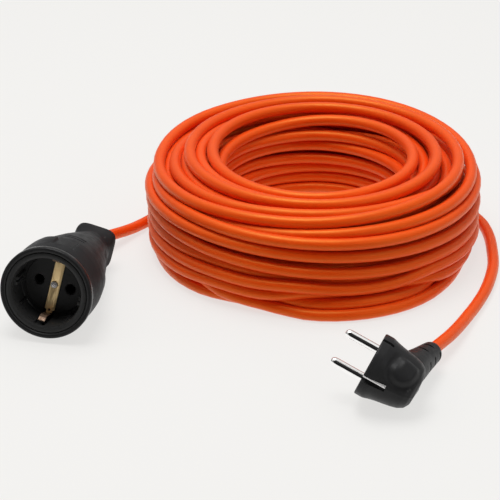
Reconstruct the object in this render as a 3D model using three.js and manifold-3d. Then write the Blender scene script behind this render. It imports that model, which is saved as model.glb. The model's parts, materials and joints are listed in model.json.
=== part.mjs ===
// Orange extension cord: 25 m of round three-core cable wound into a coil, with a rewirable
// in-line earthed socket on one end and a moulded angled earthed plug on the other.
// Millimetres, +Z up. The cord set lies on the plane z = 0, and the origin is under its middle.
// The socket's mouth faces -Y; the plug's pins point to -X and upwards.

import * as THREE from 'three';
import { mergeVertices } from 'three/addons/utils/BufferGeometryUtils.js';
import Module from 'manifold-3d';

const wasm = await Module();
wasm.setup();

// ---------------------------------------------------------------- driving dimensions

const GAP = 0.3; // between pieces that touch
const degrees = THREE.MathUtils.degToRad;

// cable
const CABLE_RADIUS = 3.5;
const CORE_RADIUS = 1.15;
const TUBE_SIDES = 10;

// coil, its centre on the floor in the row's frame
const COIL_CENTRE = new THREE.Vector2(16.3, 49);
const COIL_HEIGHT = 65;
const COIL_WIDEST = 103;
const COIL_HOLE = 52;
const COIL_FOOT = 94.6; // outer radius at the floor, beside the two leads

// standard pin pattern shared by the plug and the socket
const PIN_PITCH = 19;
const PIN_RADIUS = 2.4;
const PIN_LENGTH = 19;

// socket: axis along its own +Y from the mouth to the cable
const SOCKET_FACE = new THREE.Vector2(-123.3, -153.7); // from the coil's centre
const SOCKET_ROLL = degrees(13);
const SOCKET_LENGTH = 97;
const RIM_RADIUS = 26.7;
const RIM_LENGTH = 4;
const BARREL_RADIUS = 26.1;
const BARREL_LENGTH = 22; // full width up to here, then it tapers
const RECESS_RADIUS = 19.7;
const RECESS_DEPTH = 17.5;
const FLOOR_THICKNESS = 3;
const FLOOR_RADIUS = 17.2; // raised middle of the recess floor
const CUP_RADIUS = 22.3;
const FLANGE_HALF = 12;
const FLANGE_CORNER = 6;
const FLANGE_LENGTH = 9;
const PIN_HOLE_RADIUS = 2.9;
const STRAP_WIDTH = 5.2;
const STRAP_THICKNESS = 0.8;
const STRAP_HALF_LENGTH = 16;
const CLIP_WIDTH = 4;
const CLIP_THICKNESS = 0.6;
const CLIP_FOOT = 18.6; // from the axis to the foot of an earth clip
const SLOT_FROM = 16.2; // slot that an earth clip moves in, from the axis
const SLOT_TO = 21.3;
const SLOT_FRONT = 5;
const SCREW_SHAFT = 1.4;

// plug: pins along its own +Z from the face, pin line along X, cable along -Y
const PLUG_FACE = new THREE.Vector2(63.7, -181.6);
const PLUG_PIN_RISE = degrees(23); // pins above the horizontal
const PLUG_TURN = degrees(-5.5);
const PLUG_DIP = degrees(-3.4); // cable end lower
const PLUG_RADIUS = 19.2;
const CARRIER_RADIUS = 15.6;
const CARRIER_DEPTH = 8;
const POCKET_DEPTH = 21;
const BOOT_LEAN = degrees(12.7); // cable leans away from the face
const BOOT_ROOT_DEPTH = 15.6; // where the cable's axis meets the plug's axis
const BOOT_START = 22.5;
const BOOT_END = 46;
const EARTH_SOCKET_OFFSET = 10;
const EARTH_SLOT_WIDTH = 5;
const EARTH_SLOT_DEPTH = 2.4;
const EARTH_STRIP_WIDTH = 1.8;

// The two leads between the coil and the fittings, as points from the coil's centre.
const SOCKET_LEAD_ROUTE = [
  [-123.3, -56.3, 12.7],
  [-122.9, -47.6, 11.2],
  [-120.4, -38.6, 9.4],
  [-116.2, -28.9, 7.3],
  [-111.7, -18.1, 5.2],
  [-107.8, -8.1, 3.9],
  [-102.8, 2.9, 3.6],
  [-97.4, 14.7, 3.6],
];
const PLUG_LEAD_ROUTE = [
  [52.2, 83.5, 3.6],
  [63.8, 76.1, 3.6],
  [75.2, 67.7, 3.6],
  [86.2, 58.2, 3.6],
  [95.2, 48.5, 3.6],
  [102.8, 36.4, 3.6],
  [108.4, 19.2, 3.6],
  [111.5, 2.4, 3.6],
  [113.9, -15.6, 3.6],
  [113.9, -33.6, 3.6],
  [112.4, -51.6, 3.6],
  [109.2, -69.6, 3.7],
  [105.8, -85.6, 4.6],
  [102.4, -102.1, 6.3],
  [98.8, -116.6, 8],
  [95.1, -128, 9.3],
  [91.6, -139.6, 10.9],
];

// ---------------------------------------------------------------- materials

const LOOKS = {
  orange_pvc: { color: 0xe85818, roughness: 0.5, metalness: 0 },
  black_plastic: { color: 0x2a2a2c, roughness: 0.6, metalness: 0 },
  black_rubber: { color: 0x1b1b1c, roughness: 0.75, metalness: 0 },
  brass: { color: 0xc9a45c, roughness: 0.35, metalness: 1 },
  bronze: { color: 0xb98a63, roughness: 0.4, metalness: 1 },
  nickel: { color: 0xd4d4d2, roughness: 0.2, metalness: 1 },
  zinc: { color: 0xb9bcc0, roughness: 0.35, metalness: 1 },
  brown_pvc: { color: 0x5f3a22, roughness: 0.5, metalness: 0 },
  blue_pvc: { color: 0x2f62b3, roughness: 0.5, metalness: 0 },
  green_yellow_pvc: { color: 0x9db536, roughness: 0.5, metalness: 0 },
};

// ---------------------------------------------------------------- shape helpers

// A geometry as a welded, closed, outward-facing solid.
function toSolid(geometry) {
  const bare = geometry.clone();
  bare.deleteAttribute('normal');
  bare.deleteAttribute('uv');
  const welded = mergeVertices(bare, 1e-4);
  const position = welded.getAttribute('position');
  const corner = (i) => new THREE.Vector3().fromBufferAttribute(position, i);
  const triangles = [];
  let volume = 0;
  for (let i = 0; i < welded.index.count; i += 3) {
    const [a, b, c] = [0, 1, 2].map((k) => welded.index.getX(i + k));
    if (a === b || b === c || c === a) continue;
    triangles.push([a, b, c]);
    volume += corner(a).dot(corner(b).cross(corner(c)));
  }
  const facingOut = volume > 0 ? triangles : triangles.map(([a, b, c]) => [a, c, b]);
  return new wasm.Manifold(new wasm.Mesh({
    numProp: 3,
    vertProperties: new Float32Array(position.array),
    triVerts: new Uint32Array(facingOut.flat()),
  }));
}

function toGeometry(solid) {
  const mesh = solid.getMesh();
  const geometry = new THREE.BufferGeometry();
  geometry.setAttribute('position', new THREE.BufferAttribute(mesh.vertProperties, 3));
  geometry.setIndex(new THREE.BufferAttribute(mesh.triVerts, 1));
  return geometry;
}

// One solid from shapes to join and shapes to cut away from them.
function shape(joined, cutAway = []) {
  const body = joined.map(toSolid).reduce((sum, piece) => sum.add(piece));
  return toGeometry(cutAway.map(toSolid).reduce((left, tool) => left.subtract(tool), body));
}

// A turned shape about Y from [radius, y] points; a profile off the axis is closed on itself.
function turned(profile, segments = 48) {
  const points = profile.map(([radius, y]) => new THREE.Vector2(radius, y));
  if (profile[0][0] > 0) points.push(points[0].clone());
  return new THREE.LatheGeometry(points, segments);
}

function rod(radius, from, to, segments = 20) {
  return turned([[0, from], [radius, from], [radius, to], [0, to]], segments);
}

function box(x, y, z, centre) {
  return new THREE.BoxGeometry(x, y, z).translate(...centre);
}

function polygon(points) {
  return new THREE.Shape(points.map(([x, y]) => new THREE.Vector2(x, y)));
}

function circle(radius, sides) {
  const corners = Array.from({ length: sides }, (_, i) => (2 * Math.PI * i) / sides);
  return polygon(corners.map((turn) => [radius * Math.cos(turn), radius * Math.sin(turn)]));
}

function plate(outline, thickness) {
  return new THREE.ExtrudeGeometry(outline, { depth: thickness, bevelEnabled: false });
}

function tube(points, radius, steps, sides = TUBE_SIDES) {
  const stops = points.map((point) => new THREE.Vector3(...point));
  const extrudePath = new THREE.CatmullRomCurve3(stops, false, 'centripetal');
  return new THREE.ExtrudeGeometry(circle(radius, sides), { steps, extrudePath, bevelEnabled: false });
}

function add(group, name, geometry, look) {
  const mesh = new THREE.Mesh(shape([geometry]), new THREE.MeshStandardMaterial(LOOKS[look]));
  mesh.name = name;
  group.add(mesh);
  return mesh;
}

// A rounded square across Y, from one y to another.
function roundedSquare(half, corner, from, to) {
  const flat = half - corner;
  const outline = new THREE.Shape();
  for (const [i, [x, z]] of [[flat, flat], [-flat, flat], [-flat, -flat], [flat, -flat]].entries()) {
    outline.absarc(x, z, corner, (i * Math.PI) / 2, ((i + 1) * Math.PI) / 2);
  }
  outline.closePath();
  return plate(outline, to - from).rotateX(Math.PI / 2).translate(0, to, 0);
}

// ---------------------------------------------------------------- cable

function coil() {
  const outline = [
    [COIL_HOLE + 10, 0],
    [COIL_FOOT, 0],
    [COIL_FOOT, 2.2 * CABLE_RADIUS],
    [COIL_WIDEST - 2, 13],
    [COIL_WIDEST, 20],
    [COIL_WIDEST, COIL_HEIGHT - 23],
    [COIL_WIDEST - 2.5, COIL_HEIGHT - 17],
    [COIL_WIDEST - 6, COIL_HEIGHT - 11],
    [COIL_WIDEST - 11.5, COIL_HEIGHT - 4.5],
    [COIL_WIDEST - 18, COIL_HEIGHT],
    [COIL_HOLE + 12, COIL_HEIGHT],
    [COIL_HOLE + 3.5, COIL_HEIGHT - 5],
    [COIL_HOLE, COIL_HEIGHT - 15],
    [COIL_HOLE, 16],
    [COIL_HOLE + 4, 5],
  ];
  return turned(outline, 54).rotateX(Math.PI / 2);
}

function addCable(group) {
  const leadSteps = (route) => Math.round(route.length * 2.6);
  add(group, 'cable_coil', coil(), 'orange_pvc');
  for (const [name, route] of [['socket_lead', SOCKET_LEAD_ROUTE], ['plug_lead', PLUG_LEAD_ROUTE]]) {
    add(group, name, tube(route, CABLE_RADIUS, leadSteps(route)), 'orange_pvc');
  }
}

// ---------------------------------------------------------------- socket

const CUP_BACK = RECESS_DEPTH + FLOOR_THICKNESS;
const CHAMBER_RADIUS = 5.6;
const CHAMBER_BACK = 33;
const SLEEVE_RADIUS = 3.5;
const TERMINAL_FRONT = 34;
const TERMINAL_BACK = 45;
const BOSS_FRONT = 45;
const BOSS_BACK = 51;
const BOSS_RADIUS = 3.6;
const BOSS_WEB_SPREAD = degrees(40);
const SHEATH_END = 58;
const CLAMP_Y = 66;
const CLAMP_REACH = 7;
const PIN_X = { live: -PIN_PITCH / 2, neutral: PIN_PITCH / 2 };

// Front insert: rim, recess with guide ribs, pin holes, clip slots and the contact chambers.
function frontInsert() {
  const cup = turned([
    [0, RECESS_DEPTH],
    [FLOOR_RADIUS, RECESS_DEPTH],
    [FLOOR_RADIUS + 0.4, RECESS_DEPTH + 0.5],
    [RECESS_RADIUS, RECESS_DEPTH + 0.5],
    [RECESS_RADIUS, 1],
    [RECESS_RADIUS + 1, 0],
    [RIM_RADIUS - 1, 0],
    [RIM_RADIUS, 1],
    [RIM_RADIUS, RIM_LENGTH],
    [CUP_RADIUS, RIM_LENGTH],
    [CUP_RADIUS, CUP_BACK],
    [0, CUP_BACK],
  ], 64);
  const joined = [cup];
  const cutAway = [rod(SCREW_SHAFT + GAP, RECESS_DEPTH - 1, CUP_BACK + 1)];
  for (const x of Object.values(PIN_X)) {
    joined.push(rod(CHAMBER_RADIUS, CUP_BACK - 0.5, CHAMBER_BACK, 24).translate(x, 0, 0));
    cutAway.push(rod(PIN_HOLE_RADIUS, RECESS_DEPTH - 1, CUP_BACK + 1, 24).translate(x, 0, 0));
    cutAway.push(rod(SLEEVE_RADIUS + GAP, CUP_BACK, CHAMBER_BACK + 1, 24).translate(x, 0, 0));
  }
  const ribLength = RECESS_DEPTH - 2;
  const slotLength = CUP_BACK + 1 - SLOT_FRONT;
  const slotHeight = SLOT_TO - SLOT_FROM;
  for (const side of [-1, 1]) {
    joined.push(box(3, ribLength, 5.4, [side * (RECESS_RADIUS - 0.5), 3 + ribLength / 2, 0]));
    const slotCentre = [0, SLOT_FRONT + slotLength / 2, side * (SLOT_FROM + slotHeight / 2)];
    cutAway.push(box(CLIP_WIDTH + 2, slotLength, slotHeight, slotCentre));
  }
  return shape(joined, cutAway);
}

// Rear shell: barrel with a moulded step, shoulder, neck and square flange, hollow from the front.
function rearShell() {
  const front = RIM_LENGTH + GAP;
  const flangeFront = SOCKET_LENGTH - FLANGE_LENGTH;
  const outside = turned([
    [0, front],
    [BARREL_RADIUS - 0.5, front],
    [BARREL_RADIUS, front + 1],
    [BARREL_RADIUS, BARREL_LENGTH],
    [25.3, BARREL_LENGTH + 1],
    [24.4, 31],
    [22.2, 43],
    [19.3, 56],
    [15.8, 70],
    [12.8, 80],
    [11.2, flangeFront],
    [11.2, SOCKET_LENGTH - 2],
    [0, SOCKET_LENGTH - 2],
  ]);
  const hollow = turned([
    [0, front - 1],
    [CUP_RADIUS + GAP, front - 1],
    [CUP_RADIUS + GAP, BARREL_LENGTH + 1],
    [21.9, 31],
    [19.7, 43],
    [16.8, 56],
    [13.3, 70],
    [8.6, 80],
    [6.7, 87],
    [6.1, SOCKET_LENGTH + 1],
    [0, SOCKET_LENGTH + 1],
  ]);
  const flange = roundedSquare(FLANGE_HALF, FLANGE_CORNER, flangeFront, SOCKET_LENGTH);
  const boss = rod(BOSS_RADIUS, BOSS_FRONT, BOSS_BACK);
  const bossWebs = [-1, 1].map((side) => {
    const web = box(2, BOSS_BACK - BOSS_FRONT - 1, 22, [0, (BOSS_FRONT + BOSS_BACK) / 2, 11]);
    return web.rotateY(side * BOSS_WEB_SPREAD);
  });
  const saddle = box(24, 7, 12, [0, CLAMP_Y, -CABLE_RADIUS - GAP - 6]);
  const screwHole = rod(SCREW_SHAFT + GAP, BOSS_FRONT - 1, BOSS_FRONT + 3, 12);
  const clampHoles = [-1, 1].map((side) =>
    rod(SCREW_SHAFT + GAP, -8, 0, 12).rotateX(Math.PI / 2).translate(side * CLAMP_REACH, CLAMP_Y, 0));
  const solid = toSolid(outside).add(toSolid(flange)).subtract(toSolid(hollow));
  const inner = [boss, ...bossWebs, saddle].map(toSolid).reduce((sum, piece) => sum.add(piece));
  const kept = solid.add(inner.intersect(toSolid(outside)));
  const holes = [screwHole, ...clampHoles].map(toSolid);
  return toGeometry(holes.reduce((left, hole) => left.subtract(hole), kept));
}

function earthStrap() {
  const half = STRAP_WIDTH / 2;
  const chamfer = 2;
  const outline = polygon([
    [-half, -STRAP_HALF_LENGTH + chamfer],
    [-half + chamfer, -STRAP_HALF_LENGTH],
    [half - chamfer, -STRAP_HALF_LENGTH],
    [half, -STRAP_HALF_LENGTH + chamfer],
    [half, STRAP_HALF_LENGTH - chamfer],
    [half - chamfer, STRAP_HALF_LENGTH],
    [-half + chamfer, STRAP_HALF_LENGTH],
    [-half, STRAP_HALF_LENGTH - chamfer],
  ]);
  const back = RECESS_DEPTH - GAP;
  const strap = plate(outline, STRAP_THICKNESS).rotateX(Math.PI / 2).translate(0, back, 0);
  const screwHole = rod(SCREW_SHAFT + GAP, back - 2, back + 1, 16);
  const rivetHole = rod(0.8, back - 2, back + 1, 12).translate(0, 0, -STRAP_HALF_LENGTH + 2.6);
  return shape([strap], [screwHole, rivetHole]);
}

// A sprung tongue bowed towards the axis; side is 1 above the axis and -1 below it.
function earthClip(side) {
  const spine = [[CUP_BACK, 0], [16.8, 0], [12.5, -1.1], [9.6, -1.6], [7.4, -0.8], [6, 0.5]];
  const outer = spine.map(([y, z]) => [y, CLIP_FOOT + z]);
  const inner = spine.map(([y, z]) => [y, CLIP_FOOT + z - CLIP_THICKNESS]).reverse();
  const outline = polygon([...outer, ...inner].map(([y, z]) => [y, side * z]));
  // the outline's x is the socket's y: stand it in the YZ plane, its thickness along X
  const tongue = plate(outline, CLIP_WIDTH).rotateX(Math.PI / 2).rotateZ(Math.PI / 2);
  return tongue.translate(-CLIP_WIDTH / 2, 0, 0);
}

function slottedScrew(headRadius, headFront, headBack, tip, shaft = SCREW_SHAFT) {
  const screw = turned([
    [0, headFront],
    [headRadius - 0.3, headFront],
    [headRadius, headFront + 0.3],
    [headRadius, headBack],
    [shaft, headBack],
    [shaft, tip],
    [0, tip],
  ], 14);
  const slot = box(2 * headRadius + 1, 0.5, 0.6, [0, headFront + 0.2, 0]);
  return shape([screw], [slot]);
}

// Split sleeve that grips a pin, with a square terminal behind it.
function socketContact(x) {
  const sleeve = rod(SLEEVE_RADIUS, CUP_BACK + GAP, TERMINAL_FRONT + 1, 16);
  const bore = rod(PIN_RADIUS + 0.1, CUP_BACK - 1, TERMINAL_FRONT - 1, 16);
  const terminalMiddle = [0, (TERMINAL_FRONT + TERMINAL_BACK) / 2, 0];
  const terminal = box(7, TERMINAL_BACK - TERMINAL_FRONT, 7, terminalMiddle);
  const split = box(0.8, 11, 2 * SLEEVE_RADIUS + 1, [0, CUP_BACK + 4.5, 0]);
  const wireHole = rod(CORE_RADIUS + 0.35, TERMINAL_FRONT + 5, TERMINAL_BACK + 1, 12);
  const screwHole = rod(SCREW_SHAFT + GAP, 0, 5, 12).rotateX(Math.PI / 2);
  screwHole.translate(0, TERMINAL_FRONT + 7, 0);
  return shape([sleeve, terminal], [bore, split, wireHole, screwHole]).translate(x, 0, 0);
}

// Terminal screws stand on their blocks, heads outwards along Z.
function terminalScrew(x, y, headUnderside) {
  const screw = slottedScrew(2.4, -headUnderside - 2, -headUnderside, -1.9);
  return screw.rotateX(-Math.PI / 2).translate(x, y, 0);
}

const EARTH_BLOCK = { y: 25.2, z: -9.5, size: 6.4, depth: 7.6 };

// Terminal of the earth core: a block and a tongue held by the central screw.
function earthTerminal() {
  const { y, z, size, depth } = EARTH_BLOCK;
  const front = CUP_BACK + GAP;
  const tongue = box(6, 1.2, -z + 3, [0, front + 0.6, z / 2 + 1.5]);
  const block = box(size, depth, size, [0, y, z]);
  const wireHole = rod(CORE_RADIUS + 0.35, y - 1, y + depth, 12).translate(0, 0, z);
  const centreHole = rod(SCREW_SHAFT + GAP, front - 1, front + 3, 16);
  const screwHole = rod(SCREW_SHAFT + GAP, 0, 5, 12).rotateX(-Math.PI / 2);
  screwHole.translate(0, y + 1.6, z);
  return shape([tongue, block], [wireHole, centreHole, screwHole]);
}

function clampBar() {
  const bar = box(19, 6, 3.4, [0, CLAMP_Y, CABLE_RADIUS + GAP + 1.7]);
  const saddle = rod(CABLE_RADIUS + GAP, CLAMP_Y - 5, CLAMP_Y + 5, 16);
  const holes = [-1, 1].map((side) =>
    rod(SCREW_SHAFT + GAP, -10, 0, 12).rotateX(Math.PI / 2).translate(side * CLAMP_REACH, CLAMP_Y, 0));
  return shape([bar], [saddle, ...holes.map((hole) => hole.translate(0, 0, 9))]);
}

// Tapered rubber sleeve that the cable leaves through.
function grommet() {
  const inside = CABLE_RADIUS + GAP;
  return turned([
    [inside, 76],
    [8, 76],
    [8, 80],
    [6.2, 87],
    [5.7, SOCKET_LENGTH],
    [5.1, SOCKET_LENGTH + 1.5],
    [inside, SOCKET_LENGTH + 1.5],
  ], 32);
}

// Route of a core from the end of the sheath into the terminal on its side.
function toTerminal(side, start, into) {
  const route = [[1.3, start, 0.8], [3, 54.2, 1.2], [6.8, 50.5, 1.2], [9.3, 47.5, 0.4], [9.5, 45, 0]];
  return [...route, [PIN_PITCH / 2, into, 0]].map(([x, y, z]) => [side * x, y, z]);
}

function addSocket(group) {
  add(group, 'socket_front_insert', frontInsert(), 'black_plastic');
  add(group, 'socket_rear_shell', rearShell(), 'black_rubber');
  add(group, 'socket_earth_strap', earthStrap(), 'brass');
  add(group, 'socket_earth_clip_top', earthClip(1), 'bronze');
  add(group, 'socket_earth_clip_bottom', earthClip(-1), 'bronze');
  const headBack = RECESS_DEPTH - 2 * GAP - STRAP_THICKNESS;
  const centreScrew = slottedScrew(1.95, headBack - 1.1, headBack, BOSS_FRONT + 2.6);
  add(group, 'socket_centre_screw', centreScrew, 'nickel');
  for (const [name, x] of Object.entries(PIN_X)) {
    add(group, `socket_contact_${name}`, socketContact(x), 'brass');
    const screw = terminalScrew(x, TERMINAL_FRONT + 7, 3.5 + GAP);
    add(group, `socket_terminal_screw_${name}`, screw, 'zinc');
  }
  add(group, 'socket_earth_terminal', earthTerminal(), 'brass');
  const { y, z, size } = EARTH_BLOCK;
  const earthScrew = terminalScrew(0, y + 1.6, size / 2 + GAP).rotateY(Math.PI);
  earthScrew.translate(0, 0, z);
  add(group, 'socket_terminal_screw_earth', earthScrew, 'zinc');
  add(group, 'socket_clamp_bar', clampBar(), 'zinc');
  for (const [name, side] of [['left', -1], ['right', 1]]) {
    const top = CABLE_RADIUS + GAP + 3.4 + GAP;
    const screw = slottedScrew(2, -top - 1.6, -top, 6.6).rotateX(-Math.PI / 2);
    add(group, `socket_clamp_screw_${name}`, screw.translate(side * CLAMP_REACH, CLAMP_Y, 0), 'zinc');
  }
  add(group, 'socket_grommet', grommet(), 'black_rubber');
  const cableEnd = rod(CABLE_RADIUS, SHEATH_END, SOCKET_LENGTH + 1.5, 20);
  add(group, 'socket_cable_end', cableEnd, 'orange_pvc');
  const start = SHEATH_END - 0.8;
  const into = TERMINAL_FRONT + 6;
  const cores = {
    brown: toTerminal(-1, start, into),
    blue: toTerminal(1, start, into),
    green_yellow: [[0, start, -1.7], [0, 53.5, -4.3], [0, 47, -7.8], [0, 38, z], [0, y + 1, z]],
  };
  for (const [colour, route] of Object.entries(cores)) {
    add(group, `socket_core_${colour}`, tube(route, CORE_RADIUS, 14, 8), `${colour}_pvc`);
  }
}

// ---------------------------------------------------------------- plug

// A shape turned about Y, moved onto the cable's leaning axis, with distances along that axis.
function onCableAxis(geometry) {
  return geometry.rotateX(Math.PI + BOOT_LEAN).translate(0, 0, -BOOT_ROOT_DEPTH);
}

function onPinAxis(geometry, x = 0, y = 0) {
  return geometry.rotateX(Math.PI / 2).translate(x, y, 0);
}

// The two side earth strips; the cable leaves behind the shorter one.
const EARTH_STRIPS = {
  front: { side: 1, length: 13.4 },
  rear: { side: -1, length: 9.6 },
};

// Moulded body: round at the face, tapering to a blunt back, with the root of the boot.
function plugBody() {
  const dome = onPinAxis(turned([
    [0, 0],
    [PLUG_RADIUS - 0.7, 0],
    [PLUG_RADIUS, -0.7],
    [PLUG_RADIUS, -6.5],
    [17.9, -12],
    [16.8, -18],
    [15.7, -23.5],
    [13.6, -27],
    [10.5, -28.6],
    [0, -29.2],
  ]));
  const rootProfile = [[0, 4], [10.4, 4], [9.6, 16], [9.1, BOOT_START], [0, BOOT_START]];
  const root = onCableAxis(turned(rootProfile, 32));
  const pocket = onPinAxis(rod(CARRIER_RADIUS + GAP, -POCKET_DEPTH, 1, 40));
  const cableBore = onCableAxis(rod(CABLE_RADIUS + GAP, 4, BOOT_START + 1, 20));
  const cutAway = [pocket, cableBore];
  for (const side of [-1, 1]) {
    // guide groove at each end of the pin line
    cutAway.push(box(4, 10, 8, [side * (PLUG_RADIUS + 0.2), 0, -3]));
  }
  for (const { side, length } of Object.values(EARTH_STRIPS)) {
    const y = side * (PLUG_RADIUS - EARTH_SLOT_DEPTH + 2);
    cutAway.push(box(EARTH_SLOT_WIDTH, 4, length + 2, [0, y, -length / 2 + 1 - GAP]));
  }
  return shape([dome, root], cutAway);
}

function pinCarrier() {
  const disc = onPinAxis(rod(CARRIER_RADIUS, -CARRIER_DEPTH, 0, 40));
  const hole = (radius, x, y) => onPinAxis(rod(radius, -CARRIER_DEPTH - 1, 1), x, y);
  const holes = Object.values(PIN_X).map((x) => hole(PIN_RADIUS + GAP, x, 0));
  const earthHole = hole(3.6, 0, EARTH_SOCKET_OFFSET);
  return shape([disc], [...holes, earthHole]);
}

function plugPin(x) {
  return onPinAxis(turned([
    [0, PIN_LENGTH],
    [1, PIN_LENGTH - 0.2],
    [1.8, PIN_LENGTH - 0.8],
    [PIN_RADIUS, PIN_LENGTH - 2.2],
    [PIN_RADIUS, -CARRIER_DEPTH - GAP],
    [3, -CARRIER_DEPTH - GAP],
    [3, -CARRIER_DEPTH - 1.5],
    [1.9, -CARRIER_DEPTH - 1.5],
    [1.9, -CARRIER_DEPTH - 6.5],
    [0, -CARRIER_DEPTH - 6.5],
  ], 24), x);
}

// Earth rail along one edge of its slot in the side of the body.
function sideEarthStrip({ side, length }) {
  const slotFloor = PLUG_RADIUS - EARTH_SLOT_DEPTH;
  const outside = PLUG_RADIUS - 0.5;
  const thickness = outside - slotFloor - GAP;
  const x = -EARTH_SLOT_WIDTH / 2 + GAP + EARTH_STRIP_WIDTH / 2;
  const middle = [x, side * (outside - thickness / 2), -length / 2 - GAP / 2];
  return box(EARTH_STRIP_WIDTH, thickness, length - GAP, middle);
}

// Sleeve behind the face for a socket that has its own earth pin.
function earthSleeve() {
  const back = CARRIER_DEPTH + 3;
  const sleeve = turned([[2.55, 0.6], [3.2, 0.6], [3.2, back], [2.55, back]], 20);
  return onPinAxis(sleeve.rotateX(Math.PI), 0, EARTH_SOCKET_OFFSET);
}

// Metal link across the back of the carrier that joins the earth contacts.
function earthBridge() {
  const back = -CARRIER_DEPTH - GAP;
  const link = box(3.6, 27, 0.8, [0, 0, back - 0.4]);
  const lug = box(3, 5, 5, [0, -8, back - 3]);
  const sleeveHole = onPinAxis(rod(3.2 + GAP, back - 2, back + 1), 0, EARTH_SOCKET_OFFSET);
  const ringProfile = [[3.5, back - 0.8], [4.6, back - 0.8], [4.6, back], [3.5, back]];
  const ring = onPinAxis(turned(ringProfile, 20), 0, EARTH_SOCKET_OFFSET);
  const wireHole = onPinAxis(rod(CORE_RADIUS + 0.3, back - 7, back - 1.2, 12), 0, -8);
  return shape([link, lug, ring], [sleeveHole, wireHole]);
}

// Flexible boot with staggered slots, the strain relief of the plug.
function plugBoot() {
  const start = BOOT_START + GAP;
  const boot = onCableAxis(turned([
    [CABLE_RADIUS + GAP, start],
    [9.1, start],
    [8.4, 31],
    [7.2, 40],
    [6.3, BOOT_END - 1],
    [5.6, BOOT_END],
    [CABLE_RADIUS + GAP, BOOT_END],
  ], 32));
  const slots = [28, 33.5, 39].flatMap((along, i) => [-1, 1].map((side) => {
    const slot = box(8, 1.4, 14, [side * (8.2 - i * 0.4), along, 0]);
    return onCableAxis(i % 2 ? slot.rotateY(Math.PI / 2) : slot);
  }));
  return shape([boot], slots);
}

function addPlug(group) {
  add(group, 'plug_body', plugBody(), 'black_rubber');
  add(group, 'plug_boot', plugBoot(), 'black_rubber');
  add(group, 'plug_pin_carrier', pinCarrier(), 'black_plastic');
  for (const [name, x] of Object.entries(PIN_X)) {
    add(group, `plug_pin_${name}`, plugPin(x), 'nickel');
  }
  for (const [name, strip] of Object.entries(EARTH_STRIPS)) {
    add(group, `plug_earth_strip_${name}`, sideEarthStrip(strip), 'nickel');
  }
  add(group, 'plug_earth_sleeve', earthSleeve(), 'brass');
  add(group, 'plug_earth_bridge', earthBridge(), 'brass');
  add(group, 'plug_cable_end', onCableAxis(rod(CABLE_RADIUS, 8.5, BOOT_END, 20)), 'orange_pvc');
  const cores = {
    brown: [[-1.2, -7.4, -17.4], [-4.6, -4.6, -17.2], [-8.6, -1.6, -16.8], [-9.5, 0, -15.3]],
    blue: [[1.2, -7.4, -17.4], [4.6, -4.6, -17.2], [8.6, -1.6, -16.8], [9.5, 0, -15.3]],
    green_yellow: [[0, -7.1, -15.6], [0, -7.7, -14.6], [0, -8, -13.4]],
  };
  for (const [colour, route] of Object.entries(cores)) {
    add(group, `plug_core_${colour}`, tube(route, CORE_RADIUS, 8, 8), `${colour}_pvc`);
  }
}

// ---------------------------------------------------------------- assembly

// Tilt at which the socket lies on the back of its barrel and the edge of its flange.
const cornerReach = Math.cos(SOCKET_ROLL) + Math.sin(SOCKET_ROLL);
const flangeLow = (FLANGE_HALF - FLANGE_CORNER) * cornerReach + FLANGE_CORNER;
const socketTilt = Math.atan((BARREL_RADIUS - flangeLow) / (SOCKET_LENGTH - BARREL_LENGTH));

const cordSet = new THREE.Group();
cordSet.position.set(COIL_CENTRE.x, COIL_CENTRE.y, 0);
addCable(cordSet);

const socket = new THREE.Group();
const faceHeight = BARREL_RADIUS * Math.cos(socketTilt) + BARREL_LENGTH * Math.sin(socketTilt);
socket.position.set(SOCKET_FACE.x, SOCKET_FACE.y, faceHeight);
socket.rotation.set(-socketTilt, SOCKET_ROLL, 0);
addSocket(socket);
cordSet.add(socket);

const plug = new THREE.Group();
plug.position.set(PLUG_FACE.x, PLUG_FACE.y, 0);
plug.rotation.set(PLUG_DIP, PLUG_PIN_RISE - Math.PI / 2, PLUG_TURN, 'ZXY');
const plugParts = new THREE.Group();
plugParts.rotation.z = Math.PI;
addPlug(plugParts);
plug.add(plugParts);
plug.position.z = -new THREE.Box3().setFromObject(plug, true).min.z;
cordSet.add(plug);

export default cordSet;
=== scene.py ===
import json
from math import atan2, cos, hypot, pi, radians, sin

import bmesh
import bpy
import numpy as np
from mathutils import Matrix, Vector

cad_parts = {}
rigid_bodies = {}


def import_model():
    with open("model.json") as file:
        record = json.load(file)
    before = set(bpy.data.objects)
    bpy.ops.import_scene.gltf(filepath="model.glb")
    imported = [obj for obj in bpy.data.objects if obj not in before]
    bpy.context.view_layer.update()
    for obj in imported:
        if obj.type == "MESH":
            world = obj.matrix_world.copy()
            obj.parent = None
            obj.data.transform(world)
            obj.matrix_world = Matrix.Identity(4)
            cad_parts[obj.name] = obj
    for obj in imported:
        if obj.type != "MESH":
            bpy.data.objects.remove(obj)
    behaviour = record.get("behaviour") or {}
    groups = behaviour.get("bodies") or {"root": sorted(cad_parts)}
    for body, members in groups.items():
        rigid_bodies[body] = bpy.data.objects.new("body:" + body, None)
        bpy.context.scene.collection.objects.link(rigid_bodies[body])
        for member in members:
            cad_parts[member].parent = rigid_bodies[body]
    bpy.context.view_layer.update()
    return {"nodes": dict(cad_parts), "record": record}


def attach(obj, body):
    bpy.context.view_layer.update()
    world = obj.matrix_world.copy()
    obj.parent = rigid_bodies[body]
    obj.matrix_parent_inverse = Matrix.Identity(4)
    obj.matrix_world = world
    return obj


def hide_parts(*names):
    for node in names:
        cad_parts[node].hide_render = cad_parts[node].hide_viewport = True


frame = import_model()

MM = 0.001  # the cable, the plug and the socket are given in millimetres, the rest in metres

# ---------------------------------------------------------------- camera

CAMERA_TURN = radians(12)
CAMERA_RISE = radians(27)
CAMERA_DISTANCE = 1.150
CAMERA_AIM = Vector((-17.59, 22.73, 2.73)) * MM
LENS_MM = 135.0
SENSOR_MM = 36.0
CLIP_END = 20.0


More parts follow.
